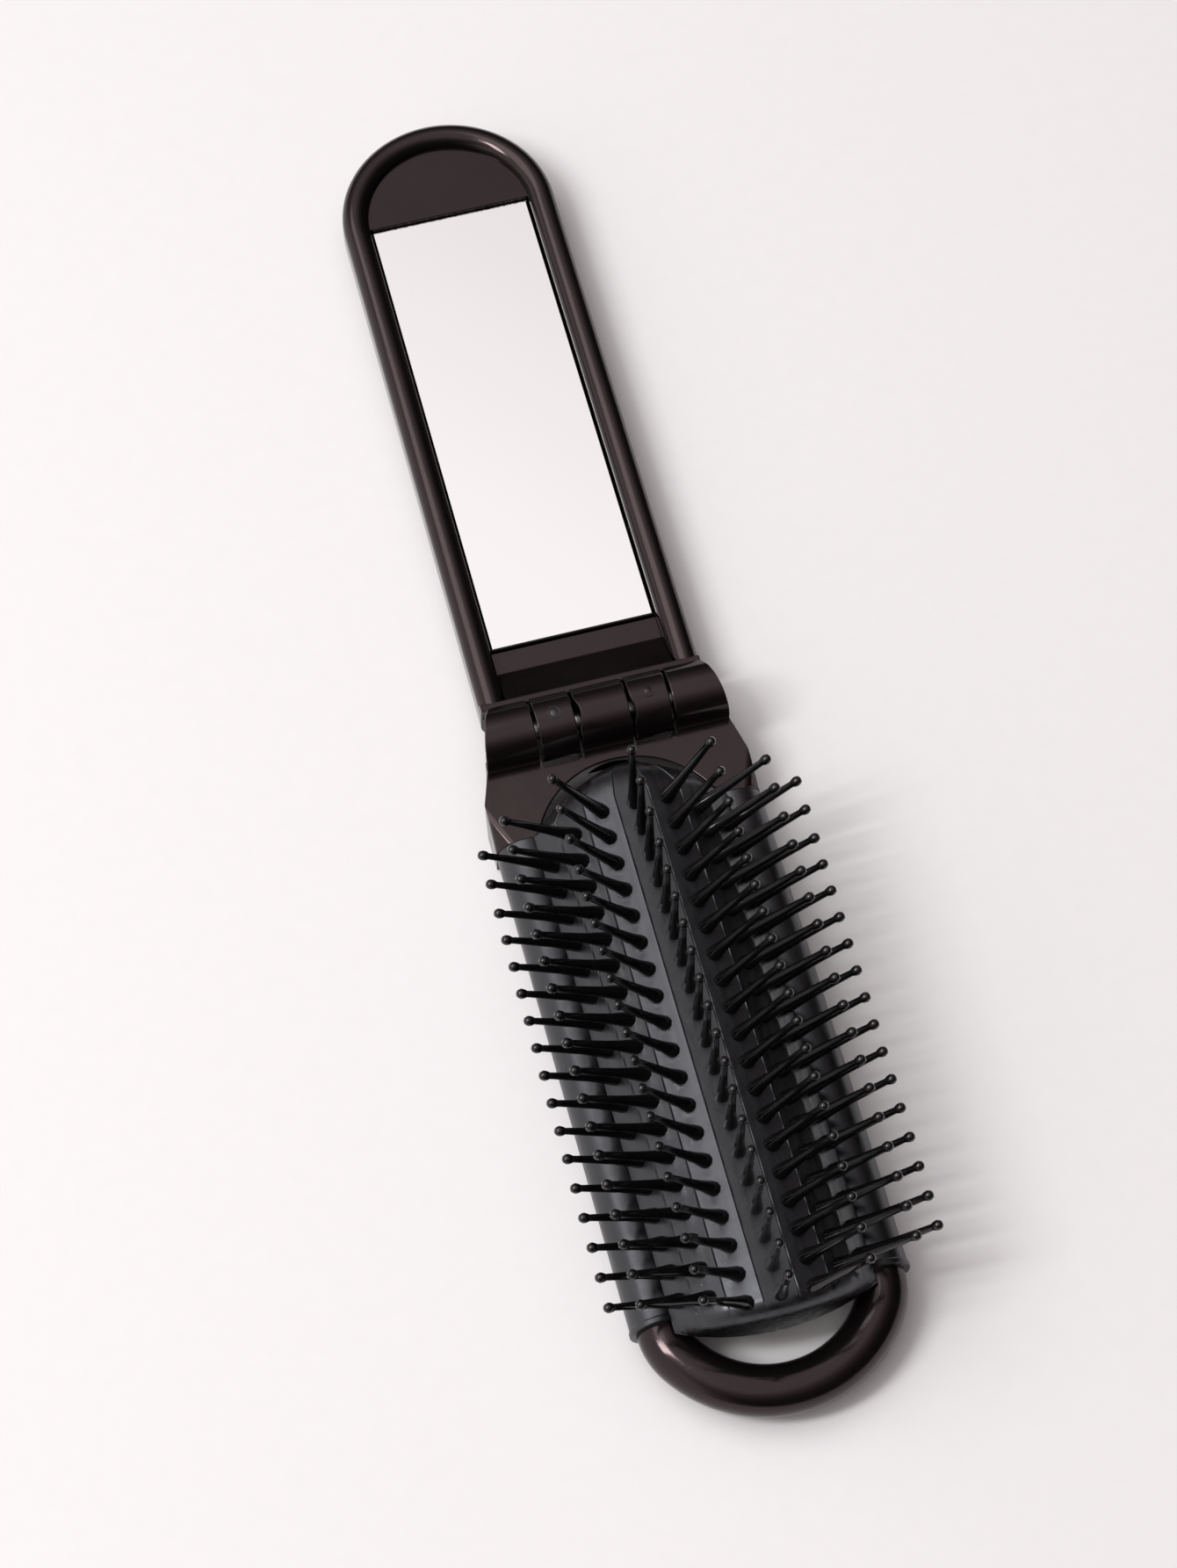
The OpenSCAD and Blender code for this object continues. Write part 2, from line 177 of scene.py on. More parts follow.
def satinBlack():
    mat, tree, bsdf = newMaterial("satinBlack")
    at = objectCoords(tree)
    cloud = noiseOf(tree, at, satinLook["cloudScale"], 4.0)
    fine = noiseOf(tree, at, satinLook["fineScale"], 2.0)
    # dust specks, thinned out by a second noise
    cells = addNode(tree, "ShaderNodeTexVoronoi", {"Scale": satinLook["dustScale"]})
    tree.links.new(at, cells.inputs["Vector"])
    dot = rampOf(tree, cells.outputs["Distance"], [(0.0, grey(1)), (0.05, grey(1)), (0.08, grey(0))])
    patch = noiseOf(tree, at, satinLook["dustPatchScale"], 0.0)
    where = rampOf(tree, patch, [(0.60, grey(0)), (0.66, grey(1))])
    dusted = addNode(tree, "ShaderNodeMix", data_type="RGBA")
    factor, base, over = dusted.inputs[0], dusted.inputs[6], dusted.inputs[7]
    over.default_value = satinLook["dust"]
    tree.links.new(mathOf(tree, "MULTIPLY", dot, where), factor)
    tree.links.new(blendOf(tree, cloud, satinLook["dark"], satinLook["light"]), base)
    tree.links.new(dusted.outputs[2], bsdf.inputs["Base Color"])
    # scuffs that run along the pad
    scuff = noiseOf(tree, objectCoords(tree, satinLook["scuffScale"]), 1.0, 3.0, 0.5)
    tree.links.new(rangeOf(tree, scuff, 0.35, 0.65, *satinLook["rough"]), bsdf.inputs["Roughness"])
    bsdf.inputs["Specular IOR Level"].default_value = satinLook["specular"]
    # painted reflection colour: the specular tint cools every reflection, standing in for the lamp's bluish
    # light
    bsdf.inputs["Specular Tint"].default_value = satinLook["paintedReflectionTint"]
    addRelief(tree, bsdf, [(fine, *satinLook["fineHeight"]), (cloud, *satinLook["cloudHeight"])])
    return mat


pinLook = dict(dark=(0.0025, 0.0023, 0.0024, 1), light=(0.0050, 0.0045, 0.0045, 1), rough=(0.06, 0.16),
               toneScale=400, roughScale=1500)


def pinBlack():
    mat, tree, bsdf = newMaterial("pinBlack")
    at = objectCoords(tree)
    tone = noiseOf(tree, at, pinLook["toneScale"], 2.0)
    tree.links.new(blendOf(tree, tone, pinLook["dark"], pinLook["light"]), bsdf.inputs["Base Color"])
    worn = noiseOf(tree, at, pinLook["roughScale"], 2.0)
    tree.links.new(rangeOf(tree, worn, 0.3, 0.7, *pinLook["rough"]), bsdf.inputs["Roughness"])
    return mat


glassLook = dict(silver=(0.985, 0.975, 0.975, 1), rough=(0.015, 0.045), smearScale=60,
                 edge=[(0.38, (0.10, 0.09, 0.09, 1)), (0.5, (0.42, 0.38, 0.38, 1)),
                       (0.62, (0.80, 0.76, 0.76, 1))],
                 edgeRough=(0.15, 0.5), edgeScale=(1500, 1500, 3000), edgeHeight=(0.6, 0.0002))


def silveredGlass():
    mat, tree, bsdf = newMaterial("silveredGlass")
    bsdf.inputs["Base Color"].default_value = glassLook["silver"]
    bsdf.inputs["Metallic"].default_value = 1.0
    smear = noiseOf(tree, objectCoords(tree), glassLook["smearScale"], 4.0)
    tree.links.new(rangeOf(tree, smear, 0.35, 0.65, *glassLook["rough"]), bsdf.inputs["Roughness"])
    return mat


# the ground end of the glass: chipped, and light between the chips
def cutGlassEdge():
    mat, tree, bsdf = newMaterial("cutGlassEdge")
    chip = noiseOf(tree, objectCoords(tree, glassLook["edgeScale"]), 1.0, 4.0, 0.7)
    tree.links.new(rampOf(tree, chip, glassLook["edge"]), bsdf.inputs["Base Color"])
    tree.links.new(rangeOf(tree, chip, 0.3, 0.7, *glassLook["edgeRough"]), bsdf.inputs["Roughness"])
    addRelief(tree, bsdf, [(chip, *glassLook["edgeHeight"])])
    return mat


# fine lines along the pin, from drawing
steelLook = dict(dark=grey(0.42), light=grey(0.62), rough=(0.2, 0.4), lineScale=(60, 4000, 4000))


def plainSteel():
    mat, tree, bsdf = newMaterial("plainSteel")
    lines = noiseOf(tree, objectCoords(tree, steelLook["lineScale"]), 1.0, 3.0)
    bsdf.inputs["Metallic"].default_value = 1.0
    tree.links.new(blendOf(tree, lines, steelLook["dark"], steelLook["light"]), bsdf.inputs["Base Color"])
    tree.links.new(rangeOf(tree, lines, 0.3, 0.7, *steelLook["rough"]), bsdf.inputs["Roughness"])
    return mat


tapeLook = dict(dark=(0.62, 0.61, 0.57, 1), light=(0.76, 0.75, 0.71, 1), rough=0.7, fibreScale=900)


def tapeWhite():
    mat, tree, bsdf = newMaterial("tapeWhite")
    fibre = noiseOf(tree, objectCoords(tree), tapeLook["fibreScale"], 4.0)
    tree.links.new(blendOf(tree, fibre, tapeLook["dark"], tapeLook["light"]), bsdf.inputs["Base Color"])
    bsdf.inputs["Roughness"].default_value = tapeLook["rough"]
    return mat


gloss, satin, pinGloss = glossBlack(), satinBlack(), pinBlack()
mirrorFace, mirrorEdge = silveredGlass(), cutGlassEdge()
steel, tape = plainSteel(), tapeWhite()
print("materials made")


# steps that the pieces share


def only(geom, kind):
    return [g for g in geom if isinstance(g, kind)]


# each point once, in the order in which they come
def vertsOf(edges):
    return list(dict.fromkeys(v for e in edges for v in e.verts))


def allOf(bm):
    return list(bm.verts) + list(bm.edges) + list(bm.faces)


def quarterTurn(axis):
    return Matrix.Rotation(math.radians(90), 4, axis)


def profileEdges(bm, points):
    verts = [bm.verts.new(p) for p in points]
    return [bm.edges.new(pair) for pair in zip(verts, verts[1:])]


# a profile of (radius, height) turned about an upright axis at the origin
def turned(bm, profile, steps):
    edges = profileEdges(bm, [(r, 0, h) for r, h in profile])
    bmesh.ops.spin(bm, geom=edges + vertsOf(edges), cent=(0, 0, 0), axis=(0, 0, 1),
                   angle=2 * math.pi, steps=steps, use_merge=True)
    bmesh.ops.remove_doubles(bm, verts=bm.verts, dist=weld)


# draws all faces out along vec
def drawOut(bm, vec):
    drawn = bmesh.ops.extrude_face_region(bm, geom=list(bm.faces))
    bmesh.ops.translate(bm, vec=vec, verts=only(drawn["geom"], BMVert))


def soften(bm, edges, offset, segments):
    bmesh.ops.bevel(bm, geom=edges, offset=offset, segments=segments,
                    profile=0.5, affect="EDGES", material=-1)


# a round bar on the hinge axis, its end edges softened
def addBar(bm, x0, x1, radius, steps, edge):
    lay = Matrix.Translation((x0, hinge["y"], hinge["z"])) @ quarterTurn("Y")
    bmesh.ops.create_circle(bm, cap_ends=True, segments=steps, radius=radius, matrix=lay)
    drawOut(bm, (x1 - x0, 0, 0))
    soften(bm, [e for e in bm.edges if abs(e.verts[0].co.x - e.verts[1].co.x) < tiny], edge, 3)


# a box between two corners with its edges softened
def addBlock(bm, low, high, edge=0.1):
    size = [b - a for a, b in zip(low, high)]
    middle = [(a + b) / 2 for a, b in zip(low, high)]
    place = Matrix.Translation(middle) @ Matrix.Diagonal((*size, 1))
    cube = bmesh.ops.create_cube(bm, size=1, matrix=place)
    soften(bm, list(dict.fromkeys(e for v in cube["verts"] for e in v.link_edges)), edge, 2)


# joins one finished form into another
def joinInto(bm, made):
    bmesh.ops.recalc_face_normals(made, faces=made.faces)
    mesh = bpy.data.meshes.new("form")
    made.to_mesh(mesh)
    made.free()
    bm.from_mesh(mesh)
    bpy.data.meshes.remove(mesh)


# bm is in millimetres; the piece gets its place, finish, body and the nodes that it stands for
def piece(name, bm, mats, body, replaced, smoothAngle=30, recalc=True, evenNormals=False):
    if recalc:
        bmesh.ops.recalc_face_normals(bm, faces=bm.faces)
    bmesh.ops.scale(bm, vec=[toMetres] * 3, verts=bm.verts)
    mesh = bpy.data.meshes.new(name)
    bm.to_mesh(mesh)
    bm.free()
    for m in mats:
        mesh.materials.append(m)
    mesh.shade_smooth()
    mesh.set_sharp_from_angle(angle=math.radians(smoothAngle))
    obj = bpy.data.objects.new(name, mesh)
    scene.collection.objects.link(obj)
    if evenNormals:
        even = obj.modifiers.new("evenNormals", "WEIGHTED_NORMAL")
        even.weight, even.keep_sharp = 100, True
    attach(obj, body)
    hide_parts(*replaced)
    return obj


# pad skin: a faceted arch with a rounded end by the deck and a softer one by the loop
# radius and step are of the arch across, the plan radii are of the two ends seen from above

pad = dict(axisZ=-0.055, radius=18.6, footZ=9.85, panels=7, step=16.5, grooveHalf=0.16, grooveDeep=0.14,
           frontApex=10.8, frontReach=7.4, frontPlanR=20.42, frontPower=2.8, frontRows=12, bodyRows=12,
           rearApex=105.7, rearPlanR=38.0, rearRound=2.7, rearDrop=3.4, rearLow=9.3, rearLip=0.2, rearRows=8,
           wall=1.2, skirtX=11.9, skirtIn=0.97, skirtEndS=100, skirtFrontZ=6.5, skirtSideZ=7.4, flatTo=0.08)


def archPoint(radius, degrees):
    a = math.radians(degrees)
    return radius * math.sin(a), pad["axisZ"] + radius * math.cos(a)


def padAcross():
    step, halfStep = pad["step"], pad["step"] / 2
    grooveDeg = math.degrees(pad["grooveHalf"] / pad["radius"])
    points = []
    for k in range(pad["panels"]):
        middle = (k - pad["panels"] // 2) * step
        for t in (-1, -0.5, 0, 0.5, 1):
            edge = middle + t * halfStep
            if abs(t) == 1:
                # the facet stops at the groove's shoulder
                edge -= math.copysign(grooveDeg, t)
            inset = math.cos(math.radians(halfStep)) / math.cos(math.radians(edge - middle))
            points.append(archPoint(pad["radius"] * inset, edge))
        if k < pad["panels"] - 1:
            points.append(archPoint(pad["radius"] - pad["grooveDeep"], middle + halfStep))
    # the outer facets end where they meet the sleeves
    for end, inner in ((0, 1), (-1, -2)):
        (x0, z0), (x1, z1) = points[inner], points[end]
        t = (pad["footZ"] - z0) / (z1 - z0)
        points[end] = (x0 + (x1 - x0) * t, pad["footZ"])
    return points


# where one point of the arch lies: row counts from the deck's end, half is the arch's half width
def padPoint(x, z, row, half):
    straight = pad["frontApex"] + pad["frontReach"]
    rearEnd = pad["rearApex"] - pad["rearPlanR"] + math.sqrt(pad["rearPlanR"] ** 2 - x * x)
    bodyEnd = rearEnd - pad["rearRound"]
    if row < pad["frontRows"]:
        d = pad["frontReach"] * (1 - math.cos(math.radians(90 * row / pad["frontRows"])))
        wide = math.sqrt(2 * pad["frontPlanR"] * d - d * d) / half
        power = pad["frontPower"]
        high = (1 - (1 - d / pad["frontReach"]) ** power) ** (1 / power)
        return x * wide, brushY(pad["frontApex"] + d), pad["footZ"] + (z - pad["footZ"]) * high
    row -= pad["frontRows"]
    if row < pad["bodyRows"]:
        return x, brushY(straight + (bodyEnd - straight) * row / pad["bodyRows"]), z
    row -= pad["bodyRows"]
    if row < pad["rearRows"]:
        # the facets melt into one rounded end
        t = row / (pad["rearRows"] - 1)
        a = math.radians(90 * t)
        arch = pad["axisZ"] + math.sqrt(pad["radius"] ** 2 - x * x)
        z += (arch - z) * min(1, 2 * t)
        z = max(pad["rearLow"] + pad["rearLip"], z - pad["rearDrop"] * (1 - math.cos(a)))
        return x, brushY(bodyEnd + pad["rearRound"] * math.sin(a)), z
    return x, brushY(rearEnd), pad["rearLow"]


def buildPadSkin():
    across = padAcross()
    rows = pad["frontRows"] + pad["bodyRows"] + pad["rearRows"] + 1
    bm = bmesh.new()
    bmesh.ops.create_grid(bm, x_segments=len(across) - 1, y_segments=rows - 1, size=1)
    for v in bm.verts:
        column = round((v.co.x + 1) / 2 * (len(across) - 1))
        row = round((v.co.y + 1) / 2 * (rows - 1))
        v.co = padPoint(*across[column], row, across[-1][0])
    bmesh.ops.remove_doubles(bm, verts=bm.verts, dist=weld)
    # a skirt hangs from the rim, except at the loop's end
    rim = [e for e in bm.edges if e.is_boundary and max(v.co.z for v in e.verts) > pad["rearLow"] + 0.1
           and min(v.co.y for v in e.verts) > brushY(pad["skirtEndS"])]
    skirt = bmesh.ops.extrude_edge_only(bm, edges=rim)
    for v in only(skirt["geom"], BMVert):
        inFront = v.co.y > brushY(pad["frontApex"] + pad["frontReach"] - 0.1)
        v.co.z = pad["skirtFrontZ"] if inFront else pad["skirtSideZ"]
        v.co.x = max(-pad["skirtX"], min(pad["skirtX"], v.co.x * pad["skirtIn"]))
    bmesh.ops.recalc_face_normals(bm, faces=bm.faces)
    if sum(f.normal.z * f.calc_area() for f in bm.faces) < 0:
        bmesh.ops.reverse_faces(bm, faces=bm.faces)
    bmesh.ops.solidify(bm, geom=bm.faces, thickness=pad["wall"])
    return bm


padSkin = piece("padSkin", buildPadSkin(), [satin], "brush",
                ["pad_end_front", "pad_end_rear"], 24)
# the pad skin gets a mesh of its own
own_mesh(padSkin)
print("pad skin made")

# pins: seven columns, each one piece, with a fat root, a slim shaft and a ball tip
# lean, rows and firstRow go from the centre column to the outer one; the profile is (radius, height)

pin = dict(baseR=18.41, firstS=20.1, pitch=4.6, lean=[0, 32, 52, 54], rows=[19, 19, 18, 17],
           firstRow=[0, 0, 0.4, 1], frontLean=10, frontRows=3, rearLean=8, rearRows=6, sides=10, flatTo=0.05,
           profile=[(0, -0.3), (1.26, -0.3), (1.24, 0.6), (1.08, 1.7), (0.9, 3.2), (0.76, 5.2), (0.64, 8.4),
                    (0.52, 12.95), (0.68, 13.25), (0.8, 13.7), (0.8, 14.1), (0.58, 14.55), (0, 14.77)])
# the columns' names, from the centre outwards
columnNames = ["centre", "inner", "middle", "outer"]


# the first rows lean towards the hinge and the last ones towards the loop
def rowLean(row):
    front = max(0, 1 - row / pin["frontRows"])
    rear = max(0, 1 - (pin["rows"][0] - 1 - row) / pin["rearRows"])
    return pin["frontLean"] * front - pin["rearLean"] * rear


def buildPins(column, side):
    onePin = bmesh.new()
    turned(onePin, pin["profile"], pin["sides"])
    bmesh.ops.recalc_face_normals(onePin, faces=onePin.faces)
    template = bpy.data.meshes.new("onePin")
    onePin.to_mesh(template)
    onePin.free()
    bm = bmesh.new()
    x, z = archPoint(pin["baseR"], side * column * pad["step"])
    sideways = Matrix.Rotation(math.radians(side * pin["lean"][column]), 4, "Y")
    for k in range(pin["rows"][column]):
        row = k + pin["firstRow"][column]
        place = Matrix.Translation((x, brushY(pin["firstS"] + row * pin["pitch"]), z))
        along = Matrix.Rotation(math.radians(-rowLean(row)), 4, "X")
        before = len(bm.verts)
        bm.from_mesh(template)
        bm.verts.ensure_lookup_table()
        bmesh.ops.transform(bm, matrix=place @ along @ sideways, verts=bm.verts[before:])
    bpy.data.meshes.remove(template)
    return bm


def addPinColumn(column, side, sideName):
    columnName = columnNames[column]
    nodeName = "_".join(word for word in ("pin_panel", sideName, columnName) if word)
    columnPins = piece("pins" + sideName.capitalize() + columnName.capitalize(), buildPins(column, side),
                       [pinGloss], "brush", [nodeName], 60)
    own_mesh(columnPins)


addPinColumn(0, 1, "")
for column in (1, 2, 3):
    addPinColumn(column, -1, "left")
    addPinColumn(column, 1, "right")
print("pins made")

# sleeves: tubes round the rails, with a collar at the loop's end

sleeve = dict(x=17, z=5, s0=17.85, s1=100.05, r=4.8, bore=4.05, collarR=5.0, collarLen=0.9,
              collarSlope=(-0.15, 0.1), edge=0.25, steps=64)


def buildSleeve(side):
    r, c, s0, s1, edge = sleeve["r"], sleeve["collarR"], sleeve["s0"], sleeve["s1"], sleeve["edge"]
    slopeFrom, slopeTo = (s1 - sleeve["collarLen"] + d for d in sleeve["collarSlope"])
    profile = [(sleeve["bore"], s0), (r - edge, s0), (r, s0 + edge), (r, slopeFrom), (c, slopeTo),
               (c, s1 - edge / 2), (c - edge / 2, s1), (sleeve["bore"], s1), (sleeve["bore"], s0)]
    bm = bmesh.new()
    turned(bm, profile, sleeve["steps"])
    lay = Matrix.Translation((side * sleeve["x"], hinge["y"], sleeve["z"])) @ quarterTurn("X")
    bmesh.ops.transform(bm, matrix=lay, verts=bm.verts)
    return bm


for side, sideName in ((-1, "left"), (1, "right")):
    piece("sleeve" + sideName.capitalize(), buildSleeve(side), [satin], "brush",
          ["sleeve_" + sideName], 30, True, True)
print("sleeves made")

# hanging loop: two tight corners and one wide bow

loop = dict(railX=17, railZ=5, tubeR=4, start=100.1, cornerR=9, cornerSteps=10,
            bowHalf=57.62, bowCentreS=95.02, bowSteps=36, sides=40)


def buildLoop():
    bm = bmesh.new()
    atRail = Matrix.Translation((loop["railX"], brushY(loop["start"]), loop["railZ"])) @ quarterTurn("X")
    bmesh.ops.create_circle(bm, cap_ends=True, segments=loop["sides"], radius=loop["tubeR"], matrix=atRail)
    cornerX, cornerTurn = loop["railX"] - loop["cornerR"], 90 - loop["bowHalf"]
    bends = [(cornerX, loop["start"], cornerTurn, loop["cornerSteps"]),
             (0, loop["bowCentreS"], 2 * loop["bowHalf"], loop["bowSteps"]),
             (-cornerX, loop["start"], cornerTurn, loop["cornerSteps"])]
    last = list(bm.faces)
    for x, s, degrees, steps in bends:
        edges = list(dict.fromkeys(e for f in last for e in f.edges))
        spun = bmesh.ops.spin(bm, geom=last + edges + vertsOf(edges), cent=(x, brushY(s), loop["railZ"]),
                              axis=(0, 0, 1), angle=-math.radians(degrees), steps=steps)
        last = only(spun["geom_last"], BMFace)
    bmesh.ops.remove_doubles(bm, verts=bm.verts, dist=weld)
    return bm


piece("hangingLoop", buildLoop(), [gloss], "brush", ["hanging_loop"])
print("loop made")

# mirror: silvered face, and a ground edge that shows light at the far end

mirror = dict(halfWidth=13.7, s0=17.6, s1=101.0, low=4.8, top=6.0, arris=0.3)


def buildMirror():
    bm = bmesh.new()
    bmesh.ops.create_cube(bm, size=1)
    s0, s1, low, top = mirror["s0"], mirror["s1"], mirror["low"], mirror["top"]
    bmesh.ops.scale(bm, vec=(2 * mirror["halfWidth"], s1 - s0, top - low), verts=bm.verts)
    bmesh.ops.translate(bm, vec=(0, handleY((s0 + s1) / 2), (low + top) / 2), verts=bm.verts)
    upper = [e for e in bm.edges if all(v.co.z > low + 0.1 for v in e.verts)]
    soften(bm, upper, mirror["arris"], 2)
    bm.normal_update()
    for f in bm.faces:
        atFarEnd = f.calc_center_median().y > handleY(s1 - mirror["arris"] - 0.05)
        f.material_index = 0 if f.normal.z > 0.95 else (1 if atFarEnd else 2)
    return bm


piece("mirrorGlass", buildMirror(), [mirrorFace, mirrorEdge, gloss], "handle",
      ["mirror_glass"], 20, True, True)
print("mirror made")

# hinge barrel: five knuckles with softened ends, the outer two cut back along the deck's outline
# taper is (distance from the hinge axis, half width); bulgeFrom and bulgeTo are angles on the knuckle

barrel = dict(r=5.2, edge=0.22, steps=72, middle=4.2, handleFrom=4.65, handleTo=10.85, outerFrom=11.3,
              outerTo=20.1, taper=[(-5.2, 17.1), (-2.6, 18.35), (0, 19.08), (2.6, 19.66), (5.2, 20.1)],
              endZone=0.5, deckBulge=0.6, deckBulgeAt=(50, 115), handleBulge=0.48, handleBulgeAt=(35, 90),
              webLow=2.0, webStartS=0.3, webEndS=5.3, webHalf=19, webUnder=0.05)


def onTable(table, at):
    for (a, p), (b, q) in zip(table, table[1:]):
        if at <= b:
            return p + (q - p) * max(0, at - a) / (b - a)
    return table[-1][1]


# how far the barrel's outline is cut back at this point
def taperAt(v):
    return onTable(barrel["taper"], hinge["y"] - v.co.y) - barrel["outerTo"]


# a bulge in one end between two angles, in degrees from the deck's side over the top
def bulgeAt(v, depth, fromDeg, toDeg):
    angle = math.degrees(math.atan2(v.co.z - hinge["z"], hinge["y"] - v.co.y))
    t = (angle - fromDeg) / (toDeg - fromDeg)
    return depth * math.sin(math.pi * t) ** 2 if 0 < t < 1 else 0


# lowEnd and highEnd give how far a point of that end moves along the barrel
def addKnuckle(bm, x0, x1, lowEnd=None, highEnd=None):
    made = bmesh.new()
    addBar(made, x0, x1, barrel["r"], barrel["steps"], barrel["edge"])
    bmesh.ops.poke(made, faces=[f for f in made.faces if len(f.verts) > 8])
    for v in made.verts:
        if lowEnd and v.co.x < x0 + barrel["endZone"]:
            v.co.x += lowEnd(v)
        if highEnd and v.co.x > x1 - barrel["endZone"]:
            v.co.x += highEnd(v)
    joinInto(bm, made)


# frame deck, with the barrel's middle and outer knuckles; points of its outline are (x, station)

deck = dict(top=8.6, backS=17.8, frontS=3.0, shoulder=(21.8, 12.2), neck=(20.1, 5.2), frontHalf=19.8,
            topEdge=0.7, topEdgeFromX=19.9, topEdgeFromS=5.0, cutHalf=19.6, cutLean=50, cornerEdge=0.75,
            notchR=15.6, notchCrown=7.4, notchEdge=0.35, notchSteps=40,
            reliefFrom=4.45, reliefTo=11.05, reliefS=6.0, wall=2.0)


def deckOutline():
    frontS, reliefFrom, reliefTo, reliefS = (deck[k] for k in ("frontS", "reliefFrom", "reliefTo", "reliefS"))
    right = [(0, frontS), (reliefFrom, frontS), (reliefFrom, reliefS), (reliefTo, reliefS), (reliefTo, frontS),
             (deck["frontHalf"], frontS), deck["neck"], deck["shoulder"], (deck["shoulder"][0], deck["backS"])]
    r, steps = deck["notchR"], deck["notchSteps"]
    centre = deck["notchCrown"] + r
    reach = math.acos((centre - deck["backS"]) / r)
    angles = [reach * (1 - 2 * k / steps) for k in range(steps + 1)]
    arc = [(r * math.sin(a), centre - r * math.cos(a)) for a in angles]
    left = [(-x, s) for x, s in reversed(right[1:])]
    return right + arc + left


# the slanted cut across each rear corner
def cutCorners(bm):
    halfX, shoulderS = deck["shoulder"]
    turnBy = math.atan2(halfX - deck["cutHalf"], deck["backS"] - shoulderS)
    lean = math.radians(deck["cutLean"])
    for side in (-1, 1):
        normal = (side * math.sin(lean) * math.cos(turnBy), -math.sin(lean) * math.sin(turnBy),
                  math.cos(lean))
        cut = bmesh.ops.bisect_plane(bm, geom=allOf(bm), dist=tiny, plane_no=normal, clear_outer=True,
                                     plane_co=(side * halfX, brushY(shoulderS), deck["top"]))
        bmesh.ops.contextual_create(bm, geom=only(cut["geom_cut"], BMEdge))
    bm.normal_update()


def softenDeck(bm):
    centreY = brushY(deck["notchCrown"] + deck["notchR"])

    def isTop(e):
        return all(abs(v.co.z - deck["top"]) < weld for v in e.verts)

    def isNotch(e):
        return all(abs(math.hypot(v.co.x, v.co.y - centreY) - deck["notchR"]) < 0.01 for v in e.verts)

    def isOuter(e):
        return all(abs(v.co.x) > deck["topEdgeFromX"] and v.co.y < brushY(deck["topEdgeFromS"])
                   for v in e.verts)

    slanted = [e for e in bm.edges if any(0.5 < f.normal.z < 0.8 for f in e.link_faces)]
    soften(bm, [e for e in bm.edges if isTop(e) and isNotch(e)], deck["notchEdge"], 3)
    soften(bm, slanted, deck["cornerEdge"], 5)
    bm.normal_update()
    # the long top edges, where a wall stands under the top
    sides = [e for e in bm.edges if isTop(e) and isOuter(e)
             and len(e.link_faces) == 2 and min(f.normal.z for f in e.link_faces) < 0.1]
    soften(bm, sides, deck["topEdge"], 4)


# the open hollow under the deck
def hollowDeck(bm):
    base = [f for f in bm.faces if f.normal.z < -0.99]
    inner = bmesh.ops.inset_region(bm, faces=base, thickness=deck["wall"], use_even_offset=True)
    bm.normal_update()
    hollow = [f for f in bm.faces if f.normal.z < -0.99 and f not in inner["faces"]]
    raised = bmesh.ops.extrude_face_region(bm, geom=hollow)
    bmesh.ops.delete(bm, geom=hollow, context="FACES_ONLY")
    bmesh.ops.translate(bm, vec=(0, 0, deck["top"] - deck["wall"]), verts=only(raised["geom"], BMVert))


def buildFrameDeck():
    bm = bmesh.new()
    bm.faces.new([bm.verts.new((x, brushY(s), 0)) for x, s in deckOutline()])
    drawOut(bm, (0, 0, deck["top"]))
    bmesh.ops.recalc_face_normals(bm, faces=bm.faces)
    cutCorners(bm)
    softenDeck(bm)
    hollowDeck(bm)
    bmesh.ops.recalc_face_normals(bm, faces=bm.faces)
    middle, outerFrom, outerTo = barrel["middle"], barrel["outerFrom"], barrel["outerTo"]
    addKnuckle(bm, -middle, middle, lowEnd=lambda v: bulgeAt(v, barrel["deckBulge"], *barrel["deckBulgeAt"]))
    addKnuckle(bm, outerFrom, outerTo, highEnd=taperAt)
    addKnuckle(bm, -outerTo, -outerFrom, lowEnd=lambda v: -taperAt(v))
    # the webs that carry the knuckles
    webHalf, webTop = barrel["webHalf"], deck["top"] - barrel["webUnder"]
    for x0, x1 in ((-middle, middle), (outerFrom, webHalf), (-webHalf, -outerFrom)):
        addBlock(bm, (x0, brushY(barrel["webEndS"]), barrel["webLow"]),
                 (x1, brushY(barrel["webStartS"]), webTop))
    return bm


piece("frameDeck", buildFrameDeck(), [gloss], "brush", ["frame_deck"], 30, False, True)
print("deck made")

# handle tray: half-round rim swept round the end, with the strip, slope and land by the hinge
# overlap is how far one form runs into its neighbour

tray = dict(half=18.4, rimR=2.25, rimTop=9.0, rimSteps=14, wellHalf=13.9, floorZ=2.2, backR=3.5, backSteps=7,
            wellCorner=0.4, startS=5.8, roundS=100.6, roundSteps=64, landStartS=6.5, landEnd=7.0, landDrop=0.02,
            landEdge=0.14, landLow=6.0, landSlope=1.4, landIn=0.1, slopeEnd=13.4, stripTop=5.4, stripEnd=17.4,
            stripEdge=0.16, seatZ=4.4, ledgeEnd=21.0, low=2.0, overlap=0.05,
            farLandS=101.2, farLandTop=6.8, farLandEdge=0.2, farLandSteps=96, ribs=4, ribWide=1.6, ribLow=2.1)


# half of the section across the handle, from the middle of the well to the middle of the back
def trayProfile():
    c, r = tray["half"] - tray["rimR"], tray["rimR"]
    b, corner = tray["backR"], tray["wellCorner"]
    rimAngles = [math.pi * k / tray["rimSteps"] for k in range(tray["rimSteps"] + 1)]
    backAngles = [math.pi / 2 * k / tray["backSteps"] for k in range(tray["backSteps"] + 1)]
    points = [(0, tray["floorZ"]), (tray["wellHalf"] - corner, tray["floorZ"]),
              (tray["wellHalf"], tray["floorZ"] + corner)]
    points += [(c - r * math.cos(a), tray["rimTop"] - r + r * math.sin(a)) for a in rimAngles]
    points += [(tray["half"] - b + b * math.cos(a), b - b * math.sin(a)) for a in backAngles]
    return points + [(0, 0)]


